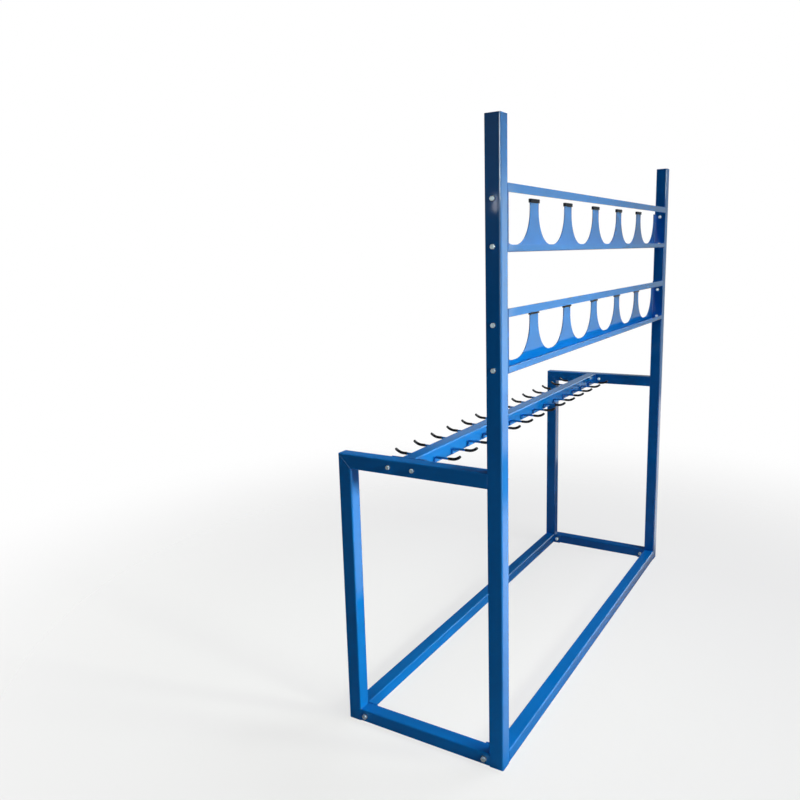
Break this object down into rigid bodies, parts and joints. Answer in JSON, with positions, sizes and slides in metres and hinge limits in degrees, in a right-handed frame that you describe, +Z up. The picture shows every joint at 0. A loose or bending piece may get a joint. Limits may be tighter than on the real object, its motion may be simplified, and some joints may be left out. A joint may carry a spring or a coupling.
{
  "type": "garden tool rack",
  "caption": "Free-standing steel rack that holds long garden tools upright in notched racks and short tools on a double-sided hook rail.",
  "frame": {"origin": "middle of the footprint, on the floor", "axes": "+Z up; +X along the rack's length; the tall posts and the hanger racks are at -Y, the short posts at +Y"},
  "size_m": [1.997, 0.6, 2],
  "materials": {
    "blue_paint": "gloss powder coat",
    "black_rubber": "satin",
    "black_plastic": "matt",
    "zinc_plate": "bright zinc plate"
  },
  "bodies": {
    "root": {"left_tall_post": "blue_paint", "left_short_post": "blue_paint", "left_top_rail": "blue_paint", "left_base_rail": "blue_paint", "left_post_top_plate": "blue_paint", "right_tall_post": "blue_paint", "right_short_post": "blue_paint", "right_top_rail": "blue_paint", "right_base_rail": "blue_paint", "right_post_top_plate": "blue_paint", "foot_plugs": "black_plastic", "front_floor_rail": "blue_paint", "rear_floor_rail": "blue_paint", "front_left_rail_plate": "blue_paint", "front_right_rail_plate": "blue_paint", "rear_left_rail_plate": "blue_paint", "rear_right_rail_plate": "blue_paint", "upper_comb": "blue_paint", "upper_guard_bar": "blue_paint", "upper_left_rack_plate": "blue_paint", "upper_right_rack_plate": "blue_paint", "upper_finger_caps": "black_rubber", "lower_comb": "blue_paint", "lower_guard_bar": "blue_paint", "lower_left_rack_plate": "blue_paint", "lower_right_rack_plate": "blue_paint", "lower_finger_caps": "black_rubber", "hook_rail": "blue_paint", "left_hook_rail_plate": "blue_paint", "right_hook_rail_plate": "blue_paint", "front_left_hooks": "blue_paint", "front_right_hooks": "blue_paint", "rear_left_hooks": "blue_paint", "rear_right_hooks": "blue_paint", "front_left_hook_sleeves": "black_rubber", "front_right_hook_sleeves": "black_rubber", "rear_left_hook_sleeves": "black_rubber", "rear_right_hook_sleeves": "black_rubber", "frame_bolts": "zinc_plate", "frame_washers": "zinc_plate", "frame_nuts": "zinc_plate", "rack_bolts": "zinc_plate", "rack_washers": "zinc_plate", "rack_nuts": "zinc_plate", "hook_rail_bolts": "zinc_plate", "hook_rail_washers": "zinc_plate", "hook_rail_nuts": "zinc_plate"}
  },
  "joints": []
}
